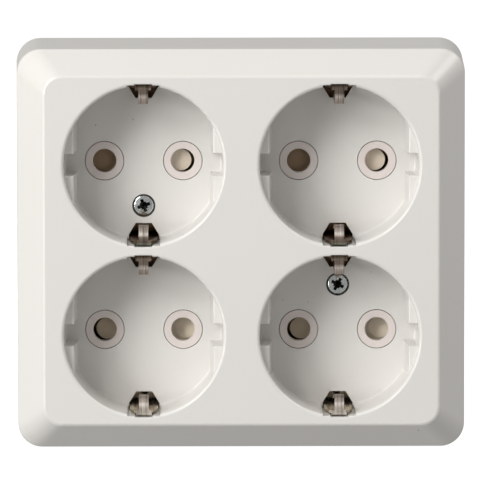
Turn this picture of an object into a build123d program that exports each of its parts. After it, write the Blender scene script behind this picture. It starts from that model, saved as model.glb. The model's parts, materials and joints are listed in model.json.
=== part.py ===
from build123d import *

import os

# Quad wall socket, surface mounted. X to the right, Y into the wall, Z up.
# The wall plane is Y = 0 and the front faces -Y. The origin is the centre of the back face.

# ---- cover, outside ----
DEPTH = 42.0  # wall to front plate
FLAT_W, FLAT_H, FLAT_R = 95.0, 84.1, 4.5  # flat front plate
EDGE_W, EDGE_H, EDGE_R = 108.0, 96.4, 5.8  # where the sloped border meets the skirt
BACK_W, BACK_H, BACK_R = 110.0, 98.3, 6.0  # skirt at the wall
BORDER_D = 8.5  # depth of the sloped border
FLAT_EDGE_FILLET = 0.9
OUTER_EDGE_FILLET = 1.0

# ---- cover, inside ----
IN_BACK_W, IN_BACK_H, IN_BACK_R = 106.0, 94.3, 4.2
IN_EDGE_Y, IN_EDGE_W, IN_EDGE_H, IN_EDGE_R = -32.8, 104.0, 92.4, 4.0
IN_FLAT_Y, IN_FLAT_W, IN_FLAT_H, IN_FLAT_R = -39.8, 93.3, 82.4, 3.7

# ---- wells ----
PITCH_X, PITCH_Z = 47.1, 41.15
WELL_DEPTH = 17.5
RIM_R, WALL_R, FLOOR_R = 20.0, 19.2, 19.0
RIM_FILLET, FLOOR_FILLET = 0.8, 0.4
CUP_R = 21.2
FLOOR_T = 1.5
GUIDE_TOP_D = 3.0  # guide tops below the front plate
GUIDE_X_TOP, GUIDE_X_FLOOR = 16.8, 16.05
NOTCH_W = 5.3
SLOT_HALF, SLOT_R = 4.0, 19.32  # shallow wall recess behind the earth contact, open at the rim
NOTCH_HALF, NOTCH_R = 2.15, 19.6  # deeper middle of that recess
EARTH_IN_R, EARTH_IN_HALF, EARTH_OUT_R, EARTH_OUT_HALF = 15.2, 1.95, 18.0, 3.65

# ---- pins and shutter housings ----
PIN_X = 9.5
PIN_HOLE_R = 2.84
BOSS_R, BOSS_HOLE_R = 4.62, 4.79
HOUSING_U0, HOUSING_U1, HOUSING_HALF = -22.5, 14.5, 6.0
HOUSING_FRONT, HOUSING_BACK = -22.9, -15.9
CAVITY_U0, CAVITY_U1, CAVITY_HALF, CAVITY_FRONT = -21.3, 13.3, 4.8, -22.1
BACKPLATE_FRONT = -17.3
SHUTTER_U0, SHUTTER_U1, SHUTTER_HALF = -13.0, 13.0, 4.5
BAR_FRONT, SHUTTER_BACK = -19.7, -17.6
STUD_R, STUD_SLOPE = 2.6, 0.5  # round studs that close the pin holes, with a sloped top
NEAR_STUD_U, NEAR_STUD_FRONT = PIN_X - 0.52, -22.0  # at the free end
FAR_STUD_U, FAR_STUD_FRONT = -PIN_X - 0.75, -20.3  # on the bar
WINDOW_U0, WINDOW_U1 = -6.5, -0.9  # the far pin passes here once the shutter has moved
SPRING_Y, SPRING_R, SPRING_WIRE_R, SPRING_TURNS = -19.0, 1.4, 0.2, 4.5

# ---- earth stirrups ----
STRIP_T, STRIP_HALF = 0.6, 3.4
LEG_V, NECK_V, NECK_HALF = 18.75, 19.1, 1.9  # distance of the leg and of its neck from the well's axis
STIRRUP_WEB_Y = -14.3
SHOULDER_Y, SHOULDER_HALF = -36.8, 2.45  # where the leg narrows to the neck
FOLD_Y = -40.4
NOSE_V, NOSE_Y = 14.9, -38.6
TONGUE_HALF = 1.15
LINK_T, LINK_X, LINK_Z = 0.8, 27.0, 6.0
EARTH_RIVET_V, EARTH_RIVET_R, EARTH_RIVET_HEAD_R = 16.0, 1.0, 1.45

# ---- screws ----
SCREW_V, SCREW_R, SCREW_HEAD_R, SCREW_POCKET_R = 10.95, 1.5, 2.5, 2.72
SCREW_SEAT_Y, SCREW_TIP_Y = -22.3, -6.0

# ---- base ----
BASE_W, BASE_H, BASE_R, BASE_T = 104.8, 93.1, 3.6, 3.0
BASE_WALL_T, BASE_WALL_H = 1.6, 8.0
WALL_SCREW_X, WALL_SCREW_Z, WALL_SCREW_R = 47.0, 41.0, 2.2
CABLE_Z, CABLE_R = 17.0, 7.0

# ---- live parts ----
BUS_T, BUS_HALF = 0.8, 3.0
CROSS_Z = 31.0
CLIP_HALF, CLIP_T = 2.5, 0.6
CONTACT_RIVET_R = 1.0
TERMINAL_HALF, TERMINAL_H = 4.0, 9.6

FLOOR_Y = -DEPTH + WELL_DEPTH
HX, HZ = PITCH_X / 2, PITCH_Z / 2
# name, centre x, centre z, and 1 or -1: the lower row is turned half round
WELLS = [("tl", -HX, HZ, 1), ("tr", HX, HZ, 1), ("bl", -HX, -HZ, -1), ("br", HX, -HZ, -1)]
CENTRES = [(cx, 0, cz) for _, cx, cz, _ in WELLS]


def facing(y, cx=0.0, cz=0.0, turn=1):
    """A plane at depth y that looks out of the front: local x to the right and local y up, or both reversed."""
    return Plane(origin=(cx, y, cz), x_dir=(turn, 0, 0), z_dir=(0, -1, 0))


def side(cx=0.0, cz=0.0, turn=1):
    """A plane through (cx, cz) that holds the depth axis: local x is depth (Y) and local y is up, or down if turned."""
    return Plane(origin=(cx, 0, cz), x_dir=(0, 1, 0), z_dir=(turn, 0, 0))


os.makedirs("parts", exist_ok=True)

# ================= the cover: skirt, sloped border and front plate =================
# the hollow of one well, with its rounded rim and floor corner
with BuildPart() as well_void:
    with BuildSketch(Plane.XY):
        with BuildLine():
            k = 0.70710678
            a = Polyline((0, FLOOR_Y), (0, -DEPTH - 1), (RIM_R, -DEPTH - 1), (RIM_R, -DEPTH))
            b = ThreePointArc(
                (RIM_R, -DEPTH),
                (RIM_R - RIM_FILLET * k, -DEPTH + RIM_FILLET - RIM_FILLET * k),
                (WALL_R, -DEPTH + RIM_FILLET),
            )
            c = Line((WALL_R, -DEPTH + RIM_FILLET), (FLOOR_R, FLOOR_Y - FLOOR_FILLET))
            d = ThreePointArc(
                (FLOOR_R, FLOOR_Y - FLOOR_FILLET),
                (FLOOR_R - FLOOR_FILLET + FLOOR_FILLET * k, FLOOR_Y - FLOOR_FILLET + FLOOR_FILLET * k),
                (FLOOR_R - FLOOR_FILLET, FLOOR_Y),
            )
            e = Line((FLOOR_R - FLOOR_FILLET, FLOOR_Y), (0, FLOOR_Y))
        make_face()
    revolve(axis=Axis.Y)

# the two side guides of one well: segments of the wall with a drafted flat and a notch on the pin axis
with BuildPart() as well_guides:
    with BuildSketch(Plane.XY.offset(-13)):
        with BuildLine():
            Polyline(
                (GUIDE_X_FLOOR, FLOOR_Y + 0.3),
                (GUIDE_X_TOP, -DEPTH + GUIDE_TOP_D),
                (RIM_R + 2, -DEPTH + GUIDE_TOP_D),
                (RIM_R + 2, FLOOR_Y + 0.3),
                close=True,
            )
        make_face()
        mirror(about=Plane.YZ)
    extrude(amount=26)
    with BuildSketch(facing(FLOOR_Y + 0.3)):
        Circle(WALL_R + 0.4)
    extrude(amount=WELL_DEPTH, mode=Mode.INTERSECT)
    with BuildSketch(facing(FLOOR_Y)):
        Rectangle(50, NOTCH_W)
    extrude(amount=WELL_DEPTH, mode=Mode.SUBTRACT)
    tops = well_guides.faces().group_by(Axis.Y)[0]
    inner = [e for f in tops for e in f.edges() if e.geom_type == GeomType.LINE]
    fillet(inner, radius=0.35)

# the openings in one well for the two earth contacts: a trapezoid in the floor and a slot up the wall
with BuildPart() as earth_openings:
    with BuildSketch(facing(FLOOR_Y + FLOOR_T + 0.5)):
        with BuildLine():
            Polyline(
                (-EARTH_IN_HALF, EARTH_IN_R),
                (EARTH_IN_HALF, EARTH_IN_R),
                (EARTH_OUT_HALF, EARTH_OUT_R),
                (EARTH_OUT_HALF, SLOT_R),
                (-EARTH_OUT_HALF, SLOT_R),
                (-EARTH_OUT_HALF, EARTH_OUT_R),
                close=True,
            )
        make_face()
        mirror(about=Plane.XZ)
    extrude(amount=FLOOR_T + 1.0)
    with BuildSketch(facing(FLOOR_Y)):
        with Locations((0, (SLOT_R + 17.5) / 2), (0, -(SLOT_R + 17.5) / 2)):
            Rectangle(2 * SLOT_HALF, SLOT_R - 17.5)
    extrude(amount=WELL_DEPTH + 1)
    with BuildSketch(facing(FLOOR_Y)):
        with Locations((0, (NOTCH_R + 17.5) / 2), (0, -(NOTCH_R + 17.5) / 2)):
            Rectangle(2 * NOTCH_HALF, NOTCH_R - 17.5)
    extrude(amount=WELL_DEPTH + 1)

with BuildPart() as cover:
    # skirt, slightly wider at the wall
    with BuildSketch(facing(0)):
        RectangleRounded(BACK_W, BACK_H, BACK_R)
    with BuildSketch(facing(-DEPTH + BORDER_D)):
        RectangleRounded(EDGE_W, EDGE_H, EDGE_R)
    loft(ruled=True)
    # sloped border
    with BuildSketch(facing(-DEPTH + BORDER_D)):
        RectangleRounded(EDGE_W, EDGE_H, EDGE_R)
    with BuildSketch(facing(-DEPTH)):
        RectangleRounded(FLAT_W, FLAT_H, FLAT_R)
    loft(ruled=True)
    rim = cover.edges().filter_by_position(Axis.Y, -DEPTH + BORDER_D - 0.01, -DEPTH + BORDER_D + 0.01)
    fillet(rim, radius=OUTER_EDGE_FILLET)
    front = cover.faces().sort_by(Axis.Y)[0]
    fillet(front.edges(), radius=FLAT_EDGE_FILLET)
    # hollow inside
    with BuildSketch(facing(0)):
        RectangleRounded(IN_BACK_W, IN_BACK_H, IN_BACK_R)
    with BuildSketch(facing(IN_EDGE_Y)):
        RectangleRounded(IN_EDGE_W, IN_EDGE_H, IN_EDGE_R)
    loft(ruled=True, mode=Mode.SUBTRACT)
    with BuildSketch(facing(IN_EDGE_Y)):
        RectangleRounded(IN_EDGE_W, IN_EDGE_H, IN_EDGE_R)
    with BuildSketch(facing(IN_FLAT_Y)):
        RectangleRounded(IN_FLAT_W, IN_FLAT_H, IN_FLAT_R)
    loft(ruled=True, mode=Mode.SUBTRACT)
    with Locations(*CENTRES):
        add(well_void.part, mode=Mode.SUBTRACT)
    with Locations(*CENTRES):
        add(earth_openings.part, mode=Mode.SUBTRACT)
cover.part.label = "cover"
export_step(cover.part, "parts/cover.step")

# ================= the cups of the wells, behind the front plate =================
for name, cx, cz, turn in WELLS:
    screw_z = cz - turn * SCREW_V
    has_screw = name in ("tl", "br")
    with BuildPart() as cup:
        with BuildSketch(facing(FLOOR_Y + FLOOR_T, cx, cz)):
            Circle(CUP_R)
        extrude(amount=FLOOR_Y + FLOOR_T - IN_FLAT_Y)
        with Locations((cx, 0, cz)):
            add(well_void.part, mode=Mode.SUBTRACT)
        with Locations((cx, 0, cz)):
            add(well_guides.part)
        with Locations((cx, 0, cz)):
            add(earth_openings.part, mode=Mode.SUBTRACT)
        # the cups above and below meet halfway
        with BuildSketch(facing(FLOOR_Y + FLOOR_T + 1, cx, -turn * 5.0)):
            Rectangle(50, 10.0)
        extrude(amount=WELL_DEPTH + 4, mode=Mode.SUBTRACT)
        # holes for the pin bosses
        with BuildSketch(facing(FLOOR_Y + FLOOR_T + 0.5, cx, cz)):
            with Locations((-PIN_X, 0), (PIN_X, 0)):
                Circle(BOSS_HOLE_R)
        extrude(amount=FLOOR_T + 1.0, mode=Mode.SUBTRACT)
        if has_screw:
            # mouth of the pocket for the screw head
            with BuildSketch(facing(SCREW_SEAT_Y, cx, screw_z)):
                Circle(SCREW_POCKET_R)
            extrude(amount=3.0, mode=Mode.SUBTRACT)
        add(cover.part, mode=Mode.SUBTRACT)
    cup.part.label = "well_" + name
    export_step(cup.part, "parts/well_" + name + ".step")

    if has_screw:
        # boss behind the floor, with the seat of the screw head and a through hole
        with BuildPart() as boss:
            with BuildSketch(facing(-15.4, cx, screw_z)):
                Circle(3.7)
                Circle(1.75, mode=Mode.SUBTRACT)
            extrude(amount=-FLOOR_Y - FLOOR_T - 15.4)
            with BuildSketch(facing(SCREW_SEAT_Y, cx, screw_z)):
                Circle(SCREW_POCKET_R)
            extrude(amount=3.0, mode=Mode.SUBTRACT)
        boss.part.label = "screw_boss_" + name
        export_step(boss.part, "parts/screw_boss_" + name + ".step")

# ================= the base =================
with BuildPart() as base:
    with BuildSketch(facing(0)):
        RectangleRounded(BASE_W, BASE_H, BASE_R)
    extrude(amount=BASE_T)
    with BuildSketch(facing(-BASE_T)):
        RectangleRounded(BASE_W, BASE_H, BASE_R)
        RectangleRounded(
            BASE_W - 2 * BASE_WALL_T, BASE_H - 2 * BASE_WALL_T, BASE_R - BASE_WALL_T, mode=Mode.SUBTRACT
        )
    extrude(amount=BASE_WALL_H - BASE_T)
    # side walls of the contact chambers, which also carry the shutter housings
    with BuildSketch(facing(-BASE_T)):
        for cx, _, cz in CENTRES:
            with Locations(*[(cx + u, cz) for u in (-14.4, -4.6, 4.6, 14.4)]):
                Rectangle(1.2, 11.0)
    extrude(amount=-HOUSING_BACK - BASE_T)
    # supports for the earth stirrups and the earth link
    with BuildSketch(facing(-BASE_T)):
        with Locations((-HX, HZ + 15.7), (HX, HZ + 15.7), (-HX, -HZ - 15.7), (HX, -HZ - 15.7)):
            RectangleRounded(5.6, 2.4, 0.8)
    extrude(amount=-STIRRUP_WEB_Y - STRIP_T / 2 - BASE_T)
    with BuildSketch(facing(-BASE_T)):
        with Locations((-HX, 0), (HX, 0)):
            Rectangle(6.0, 2.6)
    extrude(amount=-STIRRUP_WEB_Y - STRIP_T / 2 - LINK_T - BASE_T)
    # posts for the cover screws
    with BuildSketch(facing(-BASE_T)):
        with Locations((-HX, HZ - SCREW_V), (HX, -HZ + SCREW_V)):
            Circle(3.45)
    extrude(amount=-STIRRUP_WEB_Y - STRIP_T / 2 - BASE_T)
    with BuildSketch(facing(-BASE_T - 1.0)):
        with Locations((-HX, HZ - SCREW_V), (HX, -HZ + SCREW_V)):
            Circle(SCREW_R + 0.02)
    extrude(amount=12.0, mode=Mode.SUBTRACT)
    # wall screw holes and the cable entry with its raised collar
    with BuildSketch(facing(-BASE_T)):
        with Locations((0, CABLE_Z)):
            Circle(CABLE_R + 1.4)
    extrude(amount=2.0)
    with BuildSketch(facing(0.5)):
        with GridLocations(2 * WALL_SCREW_X, 2 * WALL_SCREW_Z, 2, 2):
            Circle(WALL_SCREW_R)
        with Locations((0, CABLE_Z)):
            Circle(CABLE_R)
    extrude(amount=8.0, mode=Mode.SUBTRACT)
base.part.label = "base"
export_step(base.part, "parts/base.step")

# ================= shutters, their housings, back plates and springs =================
for name, cx, cz, turn in WELLS:
    with BuildPart() as housing:
        with BuildSketch(facing(HOUSING_BACK, cx, cz, turn)):
            with Locations(((HOUSING_U0 + HOUSING_U1) / 2, 0)):
                RectangleRounded(HOUSING_U1 - HOUSING_U0, 2 * HOUSING_HALF, 1.0)
        extrude(amount=HOUSING_BACK - HOUSING_FRONT)
        with BuildSketch(facing(HOUSING_FRONT, cx, cz, turn)):
            with Locations((-PIN_X, 0), (PIN_X, 0)):
                Circle(BOSS_R)
        extrude(amount=HOUSING_FRONT - FLOOR_Y)
        with BuildSketch(facing(HOUSING_BACK + 0.5, cx, cz, turn)):
            with Locations(((CAVITY_U0 + CAVITY_U1) / 2, 0)):
                Rectangle(CAVITY_U1 - CAVITY_U0, 2 * CAVITY_HALF)
        extrude(amount=HOUSING_BACK + 0.5 - CAVITY_FRONT, mode=Mode.SUBTRACT)
        with BuildSketch(facing(HOUSING_BACK, cx, cz, turn)):
            with Locations((-PIN_X, 0), (PIN_X, 0)):
                Circle(PIN_HOLE_R)
        extrude(amount=10.0, mode=Mode.SUBTRACT)
        mouths = housing.faces().group_by(Axis.Y)[0].edges().filter_by(
            lambda e: e.geom_type == GeomType.CIRCLE and abs(e.radius - PIN_HOLE_R) < 0.01
        )
        chamfer(mouths, length=0.18)
    housing.part.label = "shutter_housing_" + name
    export_step(housing.part, "parts/shutter_housing_" + name + ".step")

    with BuildPart() as backplate:
        with BuildSketch(facing(HOUSING_BACK, cx, cz, turn)):
            with Locations(((CAVITY_U0 + CAVITY_U1) / 2, 0)):
                Rectangle(CAVITY_U1 - CAVITY_U0 - 0.1, 2 * CAVITY_HALF - 0.1)
            with Locations((-PIN_X, 0), (PIN_X, 0)):
                Circle(3.1, mode=Mode.SUBTRACT)
        extrude(amount=HOUSING_BACK - BACKPLATE_FRONT)
    backplate.part.label = "shutter_backplate_" + name
    export_step(backplate.part, "parts/shutter_backplate_" + name + ".step")

    with BuildPart() as shutter:
        # the bar, with arms that stop it at the free end and a window for the far pin
        with BuildSketch(facing(SHUTTER_BACK, cx, cz, turn)):
            with Locations(((SHUTTER_U0 + SHUTTER_U1) / 2, 0)):
                Rectangle(SHUTTER_U1 - SHUTTER_U0, 2 * SHUTTER_HALF)
            with Locations((SHUTTER_U1 - 3.5, 0)):
                Rectangle(7.2, 6.4, mode=Mode.SUBTRACT)
            with Locations((NEAR_STUD_U - 2.0, 0)):
                Rectangle(4.0, 2 * STUD_R)
            with Locations((NEAR_STUD_U, 0)):
                Circle(STUD_R)
            with Locations(((WINDOW_U0 + WINDOW_U1) / 2, 0)):
                Rectangle(WINDOW_U1 - WINDOW_U0, 6.0, mode=Mode.SUBTRACT)
        extrude(amount=SHUTTER_BACK - BAR_FRONT)
        for u, front in ((NEAR_STUD_U, NEAR_STUD_FRONT), (FAR_STUD_U, FAR_STUD_FRONT)):
            with BuildSketch(facing(BAR_FRONT, cx, cz, turn)):
                with Locations((u, 0)):
                    Circle(STUD_R)
            extrude(amount=BAR_FRONT - front)
            # the stud's top falls away towards the free end
            with BuildSketch(Plane(origin=(cx, 0, cz - 3), x_dir=(turn, 0, 0), z_dir=(0, 0, turn)).offset(0 if turn > 0 else -6)):
                with BuildLine():
                    Polyline(
                        (u - STUD_R - 0.1, front),
                        (u + STUD_R + 0.1, front + STUD_SLOPE),
                        (u + STUD_R + 0.1, front - 0.5),
                        (u - STUD_R - 0.1, front - 0.5),
                        close=True,
                    )
                make_face()
            extrude(amount=6, mode=Mode.SUBTRACT)
        # spring peg
        with BuildSketch(Plane(origin=(cx + turn * SHUTTER_U0, SPRING_Y, cz), x_dir=(0, 0, 1), z_dir=(-turn, 0, 0))):
            Circle(0.7)
        extrude(amount=2.0)
    shutter.part.label = "shutter_" + name
    export_step(shutter.part, "parts/shutter_" + name + ".step")

    coil_len = SHUTTER_U0 - CAVITY_U0 - 2 * SPRING_WIRE_R - 0.1
    with BuildPart() as spring:
        with BuildLine() as coil:
            Helix(
                pitch=coil_len / SPRING_TURNS,
                height=coil_len,
                radius=SPRING_R,
                center=(cx + turn * (CAVITY_U0 + SPRING_WIRE_R + 0.05), SPRING_Y, cz),
                direction=(turn, 0, 0),
            )
        with BuildSketch(Plane(origin=coil.line @ 0, z_dir=coil.line % 0)):
            Circle(SPRING_WIRE_R)
        sweep(path=coil.line, is_frenet=True)
    spring.part.label = "shutter_spring_" + name
    export_step(spring.part, "parts/shutter_spring_" + name + ".step")

    # ---- earth stirrup: a web behind the well and two legs whose necks fold over at the rim into tongues ----
    with BuildPart() as stirrup:
        with BuildSketch(side(cx, cz)):
            with BuildLine():
                half = [
                    (NOSE_Y + 15.8, 16.9),
                    (NOSE_Y + 1.8, NOSE_V),
                    (NOSE_Y, NOSE_V),
                    (FOLD_Y, 16.9),
                    (FOLD_Y, NECK_V),
                    (-38.6, NECK_V),
                    (-36.2, LEG_V),
                    (STIRRUP_WEB_Y, LEG_V),
                ]
                bends = [3.0, 1.6, 2.0, 0.9, 1.5, 1.5, 1.2]
                FilletPolyline(*half, *[(y, -v) for y, v in reversed(half)], radius=bends + bends[::-1])
            trace(line_width=STRIP_T)
        extrude(amount=STRIP_HALF, both=True)
        # the legs taper to round shoulders and a narrow neck
        with BuildSketch(Plane(origin=(cx, 0, cz - 22), x_dir=(1, 0, 0), z_dir=(0, 0, 1))):
            with BuildLine():
                rounded = FilletPolyline(
                    (0, -12),
                    (STRIP_HALF, -12),
                    (STRIP_HALF, SHOULDER_Y + 7.5),
                    (STRIP_HALF - 0.25, SHOULDER_Y + 3.0),
                    (SHOULDER_HALF, SHOULDER_Y),
                    (0, SHOULDER_Y),
                    radius=[0.2, 4.0, 2.5, 0.5],
                )
                Line(rounded @ 1, rounded @ 0)
            make_face()
            mirror(about=Plane.YZ)
            with Locations((0, SHOULDER_Y)):
                Rectangle(2 * NECK_HALF, 14.0)
        extrude(amount=44, mode=Mode.INTERSECT)
        # the tongues are narrower than the necks
        with BuildSketch(facing(STIRRUP_WEB_Y - 3, cx, cz)):
            for s in (-1, 1):
                with Locations((s * (TONGUE_HALF + 2.5), 0)):
                    Rectangle(5.0, 2 * 18.05)
        extrude(amount=30, mode=Mode.SUBTRACT)
        # holes for the cover screw and the rivet to the link
        with BuildSketch(facing(STIRRUP_WEB_Y + 1, cx, cz)):
            with Locations((0, SCREW_V), (0, -SCREW_V)):
                Circle(2.0)
            with Locations((0, EARTH_RIVET_V), (0, -EARTH_RIVET_V)):
                Circle(EARTH_RIVET_R + 0.02)
        extrude(amount=2.0, mode=Mode.SUBTRACT)
    stirrup.part.label = "earth_stirrup_" + name
    export_step(stirrup.part, "parts/earth_stirrup_" + name + ".step")

    # ---- pin contacts: a folded brass clip for each pin ----
    for hand, hx in (("left", cx - PIN_X), ("right", cx + PIN_X)):
        with BuildPart() as clip:
            with BuildSketch(side(hx, cz)):
                with BuildLine():
                    FilletPolyline(
                        (-15.1, 3.3),
                        (-12.4, 2.35),
                        (-BASE_T - BUS_T - CLIP_T / 2, 3.3),
                        (-BASE_T - BUS_T - CLIP_T / 2, -3.3),
                        (-12.4, -2.35),
                        (-15.1, -3.3),
                        radius=[1.2, 0.7, 0.7, 1.2],
                    )
                trace(line_width=CLIP_T)
            extrude(amount=CLIP_HALF, both=True)
            with BuildSketch(facing(-BASE_T - 0.2, hx, cz)):
                Circle(CONTACT_RIVET_R + 0.02)
            extrude(amount=2.0, mode=Mode.SUBTRACT)
        clip.part.label = "pin_contact_" + name + "_" + hand
        export_step(clip.part, "parts/pin_contact_" + name + "_" + hand + ".step")

# ================= bus bars =================
for name, turn in (("live", 1), ("neutral", -1)):
    with BuildPart() as bus:
        with BuildSketch(facing(-BASE_T, 0, 0, turn)):
            for x in (-HX - PIN_X, HX - PIN_X):
                with Locations((x, (CROSS_Z + BUS_HALF - HZ - 4.5) / 2)):
                    Rectangle(2 * BUS_HALF, CROSS_Z + BUS_HALF + HZ + 4.5)
            with Locations((-PIN_X, CROSS_Z)):
                Rectangle(PITCH_X + 2 * BUS_HALF, 2 * BUS_HALF)
            with Locations(*[(x, z) for x in (-HX - PIN_X, HX - PIN_X) for z in (-HZ, HZ)]):
                Circle(CONTACT_RIVET_R + 0.02, mode=Mode.SUBTRACT)
        extrude(amount=BUS_T)
    bus.part.label = name + "_bus_bar"
    export_step(bus.part, "parts/" + name + "_bus_bar.step")

with BuildPart() as contact_rivets:
    spots = [(cx + s * PIN_X, cz) for cx, _, cz in CENTRES for s in (-1, 1)]
    with BuildSketch(facing(-BASE_T)):
        with Locations(*spots):
            Circle(CONTACT_RIVET_R)
    extrude(amount=BUS_T + CLIP_T)
    with BuildSketch(facing(-BASE_T - BUS_T - CLIP_T)):
        with Locations(*spots):
            Circle(1.7)
    extrude(amount=0.5)
contact_rivets.part.label = "contact_rivets"
export_step(contact_rivets.part, "parts/contact_rivets.step")

# ================= earth link and its rivets =================
WEB_BACK = STIRRUP_WEB_Y + STRIP_T / 2
EARTH_SPOTS = [
    (sx * HX, sz * (HZ - EARTH_RIVET_V)) for sx in (-1, 1) for sz in (-1, 1)
]
with BuildPart() as earth_link:
    with BuildSketch(facing(WEB_BACK + LINK_T)):
        RectangleRounded(2 * LINK_X, 2 * LINK_Z, 1.0)
        with Locations(*EARTH_SPOTS):
            Circle(EARTH_RIVET_R + 0.02, mode=Mode.SUBTRACT)
    extrude(amount=LINK_T)
earth_link.part.label = "earth_link"
export_step(earth_link.part, "parts/earth_link.step")

with BuildPart() as earth_rivets:
    with BuildSketch(facing(WEB_BACK + LINK_T + 0.5)):
        with Locations(*EARTH_SPOTS):
            Circle(EARTH_RIVET_HEAD_R)
    extrude(amount=0.5)
    with BuildSketch(facing(WEB_BACK + LINK_T)):
        with Locations(*EARTH_SPOTS):
            Circle(EARTH_RIVET_R)
    extrude(amount=LINK_T + STRIP_T)
    with BuildSketch(facing(WEB_BACK - STRIP_T)):
        with Locations(*EARTH_SPOTS):
            Circle(EARTH_RIVET_HEAD_R)
    extrude(amount=0.6)
earth_rivets.part.label = "earth_rivets"
export_step(earth_rivets.part, "parts/earth_rivets.step")

# ================= terminals and their clamp screws =================
TERMINALS = [
    ("live", CROSS_Z, -BASE_T - BUS_T),
    ("neutral", -CROSS_Z, -BASE_T - BUS_T),
    ("earth", 0.0, WEB_BACK),
]
for name, z, foot in TERMINALS:
    with BuildPart() as terminal:
        with BuildSketch(facing(foot, 0, z)):
            RectangleRounded(2 * TERMINAL_HALF, 2 * TERMINAL_HALF, 0.6)
        extrude(amount=TERMINAL_H)
        # wire hole from side to side
        with BuildSketch(Plane(origin=(-6, foot - 3.6, z), x_dir=(0, 1, 0), z_dir=(1, 0, 0))):
            Circle(2.0)
        extrude(amount=12.0, mode=Mode.SUBTRACT)
        # clamp screw hole from the front down into the wire hole
        with BuildSketch(facing(foot - 3.6, 0, z)):
            Circle(1.77)
        extrude(amount=8.0, mode=Mode.SUBTRACT)
    terminal.part.label = "terminal_" + name
    export_step(terminal.part, "parts/terminal_" + name + ".step")

with BuildPart() as terminal_screws:
    for name, z, foot in TERMINALS:
        with BuildSketch(facing(foot - 4.9, 0, z)):
            Circle(1.75)
        extrude(amount=TERMINAL_H - 4.9 + 0.6)
        with BuildSketch(facing(foot - TERMINAL_H - 0.6, 0, z)):
            Circle(2.9)
        extrude(amount=2.0)
        with BuildSketch(facing(foot - TERMINAL_H - 1.6, 0, z)):
            Rectangle(7.0, 0.8)
        extrude(amount=1.2, mode=Mode.SUBTRACT)
terminal_screws.part.label = "terminal_screws"
export_step(terminal_screws.part, "parts/terminal_screws.step")

# ================= cover screws =================
with BuildPart() as cover_screws:
    for x, z in ((-HX, HZ - SCREW_V), (HX, -HZ + SCREW_V)):
        with BuildSketch(Plane(origin=(x, 0, z), x_dir=(1, 0, 0), z_dir=(0, 0, 1))):
            with BuildLine():
                Polyline(
                    (0, SCREW_TIP_Y),
                    (0, SCREW_SEAT_Y - 2.05),
                    (1.35, SCREW_SEAT_Y - 2.05),
                    (2.15, SCREW_SEAT_Y - 1.75),
                    (SCREW_HEAD_R, SCREW_SEAT_Y - 1.25),
                    (SCREW_HEAD_R, SCREW_SEAT_Y),
                    (SCREW_R, SCREW_SEAT_Y),
                    (SCREW_R, SCREW_TIP_Y - 1.2),
                    (SCREW_R - 0.9, SCREW_TIP_Y),
                    close=True,
                )
            make_face()
        revolve(axis=Axis((x, 0, z), (0, 1, 0)))
        # cross recess with its four thin secondary ribs
        with BuildSketch(facing(SCREW_SEAT_Y - 0.4, x, z)):
            with Locations(Rotation(0, 0, 20)):
                Rectangle(3.3, 0.85)
                Rectangle(0.85, 3.3)
            with Locations(Rotation(0, 0, 65)):
                Rectangle(2.4, 0.35)
                Rectangle(0.35, 2.4)
        extrude(amount=2.2, mode=Mode.SUBTRACT)
cover_screws.part.label = "cover_screws"
export_step(cover_screws.part, "parts/cover_screws.step")
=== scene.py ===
import json
import math

import bpy
from mathutils import Matrix, Vector


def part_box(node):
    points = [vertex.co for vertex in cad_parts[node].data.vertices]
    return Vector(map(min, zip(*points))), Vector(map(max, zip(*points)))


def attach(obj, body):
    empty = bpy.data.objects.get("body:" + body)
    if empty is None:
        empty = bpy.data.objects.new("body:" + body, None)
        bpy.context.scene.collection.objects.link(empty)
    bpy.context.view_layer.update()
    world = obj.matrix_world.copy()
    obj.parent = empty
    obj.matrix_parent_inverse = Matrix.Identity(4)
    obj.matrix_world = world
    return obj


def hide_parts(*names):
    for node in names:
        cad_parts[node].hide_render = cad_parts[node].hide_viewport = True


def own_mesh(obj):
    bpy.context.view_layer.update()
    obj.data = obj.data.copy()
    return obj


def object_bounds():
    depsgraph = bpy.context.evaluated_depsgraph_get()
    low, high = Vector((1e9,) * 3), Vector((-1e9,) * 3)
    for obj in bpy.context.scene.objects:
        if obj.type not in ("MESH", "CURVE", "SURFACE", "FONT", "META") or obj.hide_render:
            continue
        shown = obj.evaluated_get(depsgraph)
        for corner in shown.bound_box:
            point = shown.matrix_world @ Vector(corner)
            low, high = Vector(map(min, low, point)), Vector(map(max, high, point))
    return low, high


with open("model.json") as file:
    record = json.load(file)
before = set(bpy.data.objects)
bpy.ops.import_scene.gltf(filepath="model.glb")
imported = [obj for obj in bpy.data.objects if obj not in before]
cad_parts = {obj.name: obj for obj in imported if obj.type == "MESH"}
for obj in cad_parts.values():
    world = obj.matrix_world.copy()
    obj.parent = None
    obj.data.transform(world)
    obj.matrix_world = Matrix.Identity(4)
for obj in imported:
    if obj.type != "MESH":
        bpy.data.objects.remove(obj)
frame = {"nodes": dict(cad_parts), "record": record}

cad_lo, cad_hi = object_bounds()
nodes = frame["nodes"]
scene = bpy.context.scene
MM = 0.001

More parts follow.
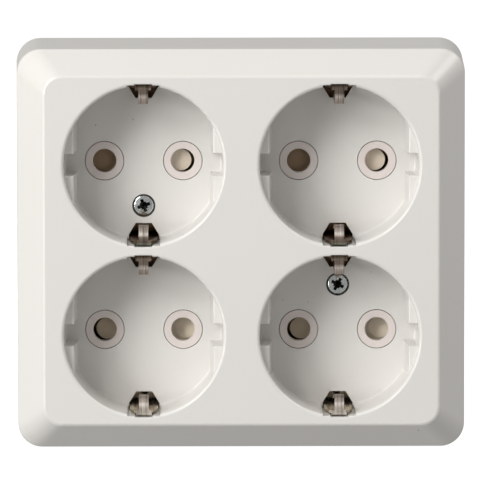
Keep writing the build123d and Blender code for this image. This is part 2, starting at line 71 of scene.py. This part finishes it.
# ---------------------------------------------------------------- camera
CAM_POS = Vector((-0.01298, -1.4420, 0.12458))
YAW, PITCH, ROLL = 0.0092, -0.0870, -0.0009
fwd = Vector((math.sin(YAW) * math.cos(PITCH), math.cos(YAW) * math.cos(PITCH), math.sin(PITCH)))
right = Vector((math.cos(YAW), -math.sin(YAW), 0.0))
up = right.cross(fwd)
r2 = right * math.cos(ROLL) + up * math.sin(ROLL)
u2 = up * math.cos(ROLL) - right * math.sin(ROLL)
cam = bpy.data.objects.new("camera", bpy.data.cameras.new("camera"))
cam.data.sensor_width = 36.0
cam.data.sensor_fit = "HORIZONTAL"
cam.data.lens = 5854.0 / 482.0 * 36.0
cam.data.clip_start = 0.05
cam.data.clip_end = 30.0
cam.matrix_world = Matrix.Translation(CAM_POS) @ Matrix((r2, u2, -fwd)).transposed().to_4x4()
scene.collection.objects.link(cam)
scene.camera = cam

# ---------------------------------------------------------------- light
scene.view_settings.view_transform = "Standard"
scene.view_settings.look = "None"
world = bpy.data.worlds.new("world")
scene.world = world
world.use_nodes = True
world.node_tree.nodes["Background"].inputs["Color"].default_value = (1.0, 0.980, 0.945, 1.0)
world.node_tree.nodes["Background"].inputs["Strength"].default_value = 0.345


def soft_lamp(name, off_axis, around, power, size=0.55, dist=1.3, colour=(1.0, 0.985, 0.950)):
    """A round soft lamp aimed at the part: off_axis from the plate's normal, around it with 0 at the right and 90 above."""
    t, p = math.radians(off_axis), math.radians(around)
    d = Vector((math.sin(t) * math.cos(p), -math.cos(t), math.sin(t) * math.sin(p)))
    light = bpy.data.lights.new(name, "AREA")
    light.shape = "DISK"
    light.size = size
    light.energy = power
    light.color = colour
    o = bpy.data.objects.new(name, light)
    o.location = Vector((0, -0.04, 0)) + d * dist
    o.rotation_mode = "QUATERNION"
    o.rotation_quaternion = (-d).to_track_quat("-Z", "Y")
    scene.collection.objects.link(o)


soft_lamp("key_left", 45, 180, 9.0)
soft_lamp("key_upper_left", 45, 135, 6.4)
soft_lamp("high_left", 65, 135, 2.9)
soft_lamp("rim_right", 82, 45, 4.2)
soft_lamp("edge_left", 82, 180, 0.7)


# ---------------------------------------------------------------- materials
class Mat:
    """A principled material whose colour, roughness and fine relief come from procedural patterns in object space."""

    def __init__(self, name, rough, metal=0.0, **sockets):
        self.m = bpy.data.materials.new(name)
        self.m.use_nodes = True
        self.t = self.m.node_tree
        self.b = self.t.nodes["Principled BSDF"]
        self.b.inputs["Roughness"].default_value = rough
        self.b.inputs["Metallic"].default_value = metal
        for k, v in sockets.items():
            self.b.inputs[k.replace("_", " ")].default_value = v
        self.co = self.t.nodes.new("ShaderNodeTexCoord").outputs["Object"]

    def mapped(self, scale):
        n = self.t.nodes.new("ShaderNodeMapping")
        n.inputs["Scale"].default_value = scale
        self.t.links.new(self.co, n.inputs["Vector"])
        return n.outputs["Vector"]

    def noise(self, scale, detail=2.0, rough=0.5, vec=None, distortion=0.0):
        n = self.t.nodes.new("ShaderNodeTexNoise")
        n.inputs["Scale"].default_value = scale
        n.inputs["Detail"].default_value = detail
        n.inputs["Roughness"].default_value = rough
        n.inputs["Distortion"].default_value = distortion
        self.t.links.new(vec or self.co, n.inputs["Vector"])
        return n.outputs["Fac"]

    def ramp(self, fac, stops):
        n = self.t.nodes.new("ShaderNodeValToRGB")
        e = n.color_ramp.elements
        while len(e) < len(stops):
            e.new(0.5)
        for el, (p, c) in zip(e, stops):
            el.position = p
            el.color = (*c, 1.0)
        self.t.links.new(fac, n.inputs["Fac"])
        return n.outputs["Color"]

    def colour(self, socket):
        self.t.links.new(socket, self.b.inputs["Base Color"])

    def roughness(self, fac, lo, hi):
        n = self.t.nodes.new("ShaderNodeMapRange")
        n.inputs["From Min"].default_value = 0.3
        n.inputs["From Max"].default_value = 0.7
        n.inputs["To Min"].default_value = lo
        n.inputs["To Max"].default_value = hi
        self.t.links.new(fac, n.inputs["Value"])
        self.t.links.new(n.outputs["Result"], self.b.inputs["Roughness"])

    def relief(self, fac, strength, distance):
        n = self.t.nodes.new("ShaderNodeBump")
        n.inputs["Strength"].default_value = strength
        n.inputs["Distance"].default_value = distance
        self.t.links.new(fac, n.inputs["Height"])
        self.t.links.new(n.outputs["Normal"], self.b.inputs["Normal"])

    def math(self, op, a, b):
        n = self.t.nodes.new("ShaderNodeMath")
        n.operation = op
        for i, v in enumerate((a, b)):
            if isinstance(v, float):
                n.inputs[i].default_value = v
            else:
                self.t.links.new(v, n.inputs[i])
        return n.outputs["Value"]

    def xyz(self):
        n = self.t.nodes.new("ShaderNodeSeparateXYZ")
        self.t.links.new(self.co, n.inputs["Vector"])
        return n.outputs["X"], n.outputs["Y"], n.outputs["Z"]

    def span(self, value, lo, hi):
        """0 at lo and 1 at hi, clamped."""
        n = self.t.nodes.new("ShaderNodeMapRange")
        n.inputs["From Min"].default_value = lo
        n.inputs["From Max"].default_value = hi
        self.t.links.new(value, n.inputs["Value"])
        return n.outputs["Result"]

    def from_axis(self, px, pz, folded=True):
        """Distance from the depth-wise axis through (px, pz); folded repeats it in all four quarters."""
        x, _, z = self.xyz()
        if folded:
            x, z = self.math("ABSOLUTE", x, 0.0), self.math("ABSOLUTE", z, 0.0)
        dx, dz = self.math("SUBTRACT", x, px), self.math("SUBTRACT", z, pz)
        return self.math("SQRT", self.math("ADD", self.math("MULTIPLY", dx, dx), self.math("MULTIPLY", dz, dz)), 0.0)

    def blend(self, mask, a, b):
        mix = self.t.nodes.new("ShaderNodeMix")
        mix.data_type = "RGBA"
        self.t.links.new(mask, mix.inputs["Factor"])
        for sock, v in (("A", a), ("B", b)):
            if isinstance(v, tuple):
                mix.inputs[sock].default_value = (*v, 1.0)
            else:
                self.t.links.new(v, mix.inputs[sock])
        return mix.outputs["Result"]

    def times(self, a, b):
        mix = self.t.nodes.new("ShaderNodeMix")
        mix.data_type = "RGBA"
        mix.blend_type = "MULTIPLY"
        mix.inputs["Factor"].default_value = 1.0
        self.t.links.new(a, mix.inputs["A"])
        self.t.links.new(b, mix.inputs["B"])
        return mix.outputs["Result"]

    def specks(self, base, tint, scale, radius, share):
        """Sparse small marks: a few of the cells show a dot."""
        v = self.t.nodes.new("ShaderNodeTexVoronoi")
        v.inputs["Scale"].default_value = scale
        self.t.links.new(self.co, v.inputs["Vector"])
        s = self.t.nodes.new("ShaderNodeSeparateColor")
        self.t.links.new(v.outputs["Color"], s.inputs["Color"])
        near = self.math("LESS_THAN", v.outputs["Distance"], radius)
        few = self.math("LESS_THAN", s.outputs["Red"], share)
        mask = self.math("MULTIPLY", near, few)
        mix = self.t.nodes.new("ShaderNodeMix")
        mix.data_type = "RGBA"
        self.t.links.new(mask, mix.inputs["Factor"])
        self.t.links.new(base, mix.inputs["A"])
        mix.inputs["B"].default_value = (*tint, 1.0)
        return mix.outputs["Result"]


mats = {}

# moulded white plastic: faint cloudy tone, uneven gloss and a few specks of dust
w = Mat("cover_plastic", 0.28, IOR=1.5)
c = w.ramp(w.noise(22.0, 1.0), [(0.15, (0.779, 0.768, 0.752)), (0.85, (0.793, 0.784, 0.769))])
for px, pz, size, dark in (
    (-35.2, 29.2, 0.30, 0.55),
    (-26.1, 30.6, 0.34, 0.35),
    (10.3, -13.5, 0.30, 0.25),
    (16.4, -14.0, 0.26, 0.30),
    (17.8, -12.8, 0.22, 0.25),
    (31.7, -6.7, 0.28, 0.22),
    (42.7, -43.6, 0.22, 0.75),
):
    near = w.span(w.from_axis(px * MM, pz * MM, False), size * MM, size * 0.4 * MM)
    c = w.blend(w.math("MULTIPLY", near, dark), c, (0.20, 0.19, 0.175))
# painted shade: the plastic in and just around the two screw pockets is painted near black
_, wy, _ = w.xyz()
upper = w.span(w.from_axis(-0.02355, 0.009625, False), 0.00288, 0.00274)
lower = w.span(w.from_axis(0.02355, -0.009625, False), 0.00288, 0.00274)
# mask of the painted pocket shade
pocket_shade_mask = w.math("MULTIPLY", w.math("MAXIMUM", upper, lower), w.span(wy, -0.02460, -0.02455))
w.colour(w.blend(pocket_shade_mask, c, (0.085, 0.083, 0.078)))
w.roughness(w.noise(45.0, 1.0), 0.28, 0.29)
mats["cover_plastic"] = w.m

# shutter housings: the same plastic, a little pinker
h = Mat("housing_plastic", 0.30, IOR=1.5)
h.colour(h.ramp(h.noise(160.0, 3.0), [(0.3, (0.775, 0.705, 0.685)), (0.7, (0.80, 0.735, 0.716))]))
h.roughness(h.noise(700.0), 0.28, 0.34)
mats["housing_plastic"] = h.m

# shutters: matt cream; painted shade makes the faces under the left pin holes dark brown, and the faces under the right
# pin holes are painted light cream as lit, to different degrees in the two rows
s = Mat("shutter_plastic", 0.42, IOR=1.48)
sx, _, sz = s.xyz()
at_right = s.math("GREATER_THAN", s.math("MODULO", s.math("ADD", sx, 0.0942), 0.0471), 0.02355)
lower = s.math("LESS_THAN", sz, 0.0)
c = s.ramp(s.noise(420.0, 4.0, 0.6), [(0.3, (0.92, 0.91, 0.89)), (0.7, (1.0, 1.0, 1.0))])
# painted shade and light: left-hole faces dark brown, right-hole faces light cream
upper_row_shade_and_light = s.blend(at_right, (0.52, 0.37, 0.225), (0.76, 0.68, 0.57))
lower_row_shade_and_light = s.blend(at_right, (0.51, 0.43, 0.32), (0.95, 0.86, 0.70))
c = s.times(s.blend(lower, upper_row_shade_and_light, lower_row_shade_and_light), c)
s.colour(s.specks(c, (0.12, 0.09, 0.06), 420.0, 0.07, 0.25))
s.roughness(s.noise(1500.0), 0.36, 0.5)
s.relief(s.noise(1400.0, 3.0), 0.25, 0.00004)
mats["shutter_plastic"] = s.m

# base and back plates: matt dark brown-grey insulating plastic with a slight grain
d = Mat("base_plastic", 0.5, IOR=1.5)
c = d.ramp(d.noise(260.0, 5.0, 0.6), [(0.3, (0.030, 0.026, 0.022)), (0.7, (0.048, 0.041, 0.035))])
d.colour(c)
d.roughness(d.noise(900.0), 0.42, 0.6)
d.relief(d.noise(1300.0, 4.0), 0.35, 0.00005)
mats["base_plastic"] = d.m

# nickel-plated strip with rolling streaks; a painted highlight across the middle of the tongue, painted shade darkening
# the fold and the leg, brown further in (painted shade, partly tarnish), and the two lowest contacts painted lighter as
# lit; the necks are tinted green-grey on top contacts and brown on bottom ones
n = Mat("nickel_strip", 0.26, 1.0)
_, ny, nz = n.xyz()
off = n.math("ABSOLUTE", n.math("SUBTRACT", n.math("ABSOLUTE", nz, 0.0), 0.020575), 0.0)
along = n.span(off, 0.0145, 0.0195)
inward = n.span(ny, -0.0383, -0.030)
# painted highlight: the bright stop part way along the tongue
TONGUE_PAINTED_HIGHLIGHT = [(0.0, (0.50, 0.44, 0.40)), (0.26, (0.74, 0.66, 0.61)), (0.38, (1.0, 0.95, 0.90)), (0.46, (0.78, 0.70, 0.65))]
is_top = n.math("GREATER_THAN", n.math("MODULO", n.math("ADD", nz, 0.0823), 0.04115), 0.020575)
# painted shade: dark brown on the fold and the leg
LEG_PAINTED_SHADE = [(0.56, (0.32, 0.265, 0.225)), (0.80, (0.24, 0.195, 0.160))]
# all contacts but the two lowest; the darker brown further in is painted shade, partly tarnish
shade_painted_contacts = n.times(
    n.blend(
        is_top,
        n.ramp(along, TONGUE_PAINTED_HIGHLIGHT + LEG_PAINTED_SHADE + [(0.90, (0.33, 0.34, 0.285))]),
        n.ramp(along, TONGUE_PAINTED_HIGHLIGHT + LEG_PAINTED_SHADE + [(0.90, (0.40, 0.32, 0.255))]),
    ),
    n.ramp(inward, [(0.0, (1.0, 1.0, 1.0)), (0.2, (0.75, 0.56, 0.42)), (1.0, (0.60, 0.43, 0.29))]),
)
# the two lowest contacts: a lighter copy of the colours, painted as lit
new = n.times(
    n.ramp(along, TONGUE_PAINTED_HIGHLIGHT + [(0.56, (0.72, 0.66, 0.58)), (0.80, (0.84, 0.78, 0.70)), (0.90, (0.74, 0.71, 0.66))]),
    n.ramp(inward, [(0.0, (1.0, 1.0, 1.0)), (0.2, (0.95, 0.88, 0.76)), (1.0, (1.0, 0.96, 0.86))]),
)
streaks = n.noise(1.0, 2.0, 0.6, n.mapped((3300.0, 110.0, 110.0)))
grain = n.ramp(streaks, [(0.32, (0.42, 0.40, 0.38)), (0.5, (0.85, 0.84, 0.83)), (0.62, (1.0, 1.0, 1.0))])
n.colour(n.times(n.blend(n.span(nz, -0.028, -0.031), shade_painted_contacts, new), grain))
n.roughness(streaks, 0.38, 0.52)
n.relief(streaks, 0.3, 0.00003)
mats["nickel_strip"] = n.m

# drawn spring wire
p = Mat("spring_steel", 0.28, 1.0)
p.colour(p.ramp(p.noise(900.0, 3.0), [(0.3, (0.42, 0.42, 0.41)), (0.7, (0.58, 0.58, 0.57))]))
p.roughness(p.noise(2500.0), 0.2, 0.36)
p.relief(p.noise(4000.0, 2.0), 0.2, 0.00001)
mats["spring_steel"] = p.m

# bright zinc plate with a cool uneven film
z = Mat("zinc_steel", 0.2, 1.0)
z.colour(z.ramp(z.noise(700.0, 4.0, 0.6), [(0.3, (0.50, 0.54, 0.54)), (0.7, (0.72, 0.75, 0.76))]))
z.roughness(z.noise(1800.0, 3.0), 0.12, 0.3)
z.relief(z.noise(2600.0, 4.0), 0.35, 0.00002)
mats["zinc_steel"] = z.m

# the cover screws' plating: the same film, with painted shade, near black, deep in the recess
g = Mat("zinc_screw", 0.2, 1.0)
_, gy, _ = g.xyz()
inner = g.span(g.from_axis(0.02355, 0.009625), 0.00195, 0.0017)
# painted shade down in the cross recess
recess_shade_mask = g.math("MULTIPLY", inner, g.span(gy, -0.02432, -0.02390))
film = g.ramp(g.noise(900.0, 4.0, 0.6), [(0.3, (0.60, 0.65, 0.66)), (0.7, (0.88, 0.92, 0.93))])
g.colour(g.blend(recess_shade_mask, film, (0.020, 0.021, 0.020)))
g.roughness(g.noise(1800.0, 3.0), 0.14, 0.30)
g.relief(g.noise(2600.0, 4.0), 0.3, 0.00002)
mats["zinc_screw"] = g.m

# bare brass, lightly tarnished
q = Mat("brass", 0.3, 1.0)
q.colour(q.ramp(q.noise(240.0, 4.0, 0.6), [(0.3, (0.42, 0.28, 0.11)), (0.7, (0.66, 0.48, 0.22))]))
q.roughness(q.noise(1200.0, 3.0), 0.24, 0.42)
q.relief(q.noise(3000.0, 2.0), 0.2, 0.00001)
mats["brass"] = q.m

slots = {sp["node"]: sp["material_slot"] for sp in frame["record"]["subparts"]}
for name, o in nodes.items():
    for ms in o.material_slots:
        ms.material = mats[slots[name]]


# ---------------------------------------------------------------- own pieces
def mesh_object(name, verts, faces, mat, sharp=math.radians(38)):
    me = bpy.data.meshes.new(name)
    me.from_pydata([tuple(v) for v in verts], [], faces)
    me.validate()
    me.update()
    for poly in me.polygons:
        poly.use_smooth = True
    me.set_sharp_from_angle(angle=sharp)
    me.materials.append(mat)
    o = bpy.data.objects.new(name, me)
    scene.collection.objects.link(o)
    return o


def smooth(t):
    t = min(max(t, 0.0), 1.0)
    return t * t * (3 - 2 * t)


def cover_screw(name, x, z, turn):
    """Pan-head screw seen from the front: domed head, tapered cross recess with four short ribs, ringed shank."""
    seg = 144
    seat, top, head_r, shank_r, tip = -22.3, -24.46, 2.62, 1.49, -6.0

    def head(r, a):
        y = top + 0.045 * r * r + 0.10 * (max(0.0, r - 2.1) / 0.4) ** 2
        u, v = r * math.cos(a - turn), r * math.sin(a - turn)
        au, av = abs(u), abs(v)
        width = 0.40
        cross = min(max(au - width, av - 1.62), max(av - width, au - 1.62))
        deep = smooth(-cross / 0.16) * (1.65 - 0.62 * r)
        s, t = abs(u - v) / math.sqrt(2), abs(u + v) / math.sqrt(2)
        rib = min(max(s - 0.16, t - 1.12), max(t - 0.16, s - 1.12))
        deep = max(deep, smooth(-rib / 0.1) * (0.85 - 0.35 * r), smooth((0.92 - r) / 0.2) * (1.65 - 0.62 * r))
        return y + deep

    rings = [2.56 * (i / 46) for i in range(1, 47)]
    verts = [(x, head(0.0, 0.0), z)]
    for r in rings:
        for k in range(seg):
            a = 2 * math.pi * k / seg
            verts.append((x + r * math.cos(a), head(r, a), z + r * math.sin(a)))
    edge = head(2.56, 0.0)
    outline = [(2.60, edge + 0.06), (head_r, edge + 0.18), (head_r, seat - 0.05), (head_r - 0.05, seat), (shank_r, seat)]
    y = seat + 0.5
    while y < tip - 1.6:
        outline += [(shank_r, y), (shank_r - 0.27, y + 0.3), (shank_r, y + 0.6)]
        y += 0.8
    outline += [(shank_r, tip - 1.1), (0.55, tip)]
    for r, yy in outline:
        for k in range(seg):
            a = 2 * math.pi * k / seg
            verts.append((x + r * math.cos(a), yy, z + r * math.sin(a)))
    verts.append((x, tip, z))
    faces = [(0, 1 + (k + 1) % seg, 1 + k) for k in range(seg)]
    rows = len(rings) + len(outline)
    for i in range(rows - 1):
        a0, b0 = 1 + i * seg, 1 + (i + 1) * seg
        for k in range(seg):
            k2 = (k + 1) % seg
            faces.append((a0 + k, a0 + k2, b0 + k2, b0 + k))
    last = 1 + (rows - 1) * seg
    faces += [(last + k, last + (k + 1) % seg, len(verts) - 1) for k in range(seg)]
    verts = [tuple(c * MM for c in v) for v in verts]
    o = mesh_object(name, verts, faces, mats["zinc_screw"], math.radians(50))
    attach(o, "socket")
    return o


HX, HZ = 23.55, 20.575
for piece in (
    cover_screw("cover_screw_upper", -HX, HZ - 10.95, math.radians(20)),
    cover_screw("cover_screw_lower", HX, -HZ + 10.95, math.radians(-28)),
):
    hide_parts("cover_screws")


def coil_spring(well, cx, cz, turn):
    """Compression spring with closed ends."""
    lo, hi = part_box("shutter_spring_" + well)
    y = (lo.y + hi.y) / 2 / MM
    u0, u1, r, wire, turns, around, step = -21.24, -13.06, 1.4, 0.2, 6.0, 8, 22
    total = int(turns * step)
    centre = []
    for i in range(total + 1):
        t = i / step
        # the first and last turn lie nearly closed
        f = smooth((t - 0.7) / (turns - 1.4)) * 0.35 + min(max((t - 0.85) / (turns - 1.7), 0.0), 1.0) * 0.65
        closed = 0.42 * (min(t, 1.0) + max(0.0, t - (turns - 1.0)))
        u = u0 + wire + closed + f * (u1 - u0 - 2 * wire - 0.84)
        a = 2 * math.pi * t
        centre.append(Vector((u, r * math.cos(a), r * math.sin(a))))
    verts, faces = [], []
    for i, q0 in enumerate(centre):
        ahead, behind = centre[min(i + 1, total)], centre[max(i - 1, 0)]
        tan = (ahead - behind).normalized()
        out = Vector((0, q0.y, q0.z)).normalized()
        side = tan.cross(out).normalized()
        out = side.cross(tan).normalized()
        for k in range(around):
            a = 2 * math.pi * k / around
            v = q0 + (out * math.cos(a) + side * math.sin(a)) * wire
            verts.append(((cx + turn * v.x) * MM, (y + v.y) * MM, (cz + turn * v.z) * MM))
    for i in range(total):
        for k in range(around):
            k2 = (k + 1) % around
            faces.append((i * around + k, i * around + k2, (i + 1) * around + k2, (i + 1) * around + k))
    faces.append(tuple(reversed(range(around))))
    faces.append(tuple(total * around + k for k in range(around)))
    o = mesh_object("coil_spring_" + well, verts, faces, mats["spring_steel"], math.radians(60))
    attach(o, "socket")
    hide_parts("shutter_spring_" + well)
    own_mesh(o)


for well, cx, cz, turn in (("tl", -HX, HZ, 1), ("tr", HX, HZ, 1), ("bl", -HX, -HZ, -1), ("br", HX, -HZ, -1)):
    coil_spring(well, cx, cz, turn)

# ---------------------------------------------------------------- stage
floor = bpy.data.meshes.new("floor")
s, zf = 6.0, cad_lo.z - 0.0002
floor.from_pydata([(-s, -s, zf), (s, -s, zf), (s, s, zf), (-s, s, zf)], [], [(0, 1, 2, 3)])
fo = bpy.data.objects.new("floor", floor)
scene.collection.objects.link(fo)
fm = bpy.data.materials.new("floor")
fm.use_nodes = True
fb = fm.node_tree.nodes["Principled BSDF"]
fb.inputs["Base Color"].default_value = (0.42, 0.42, 0.42, 1)
fb.inputs["Roughness"].default_value = 0.9
fb.inputs["Specular IOR Level"].default_value = 0.0
fb.inputs["Emission Color"].default_value = (1, 1, 1, 1)
fb.inputs["Emission Strength"].default_value = 0.90
floor.materials.append(fm)
fo.visible_diffuse = False
fo.visible_glossy = False
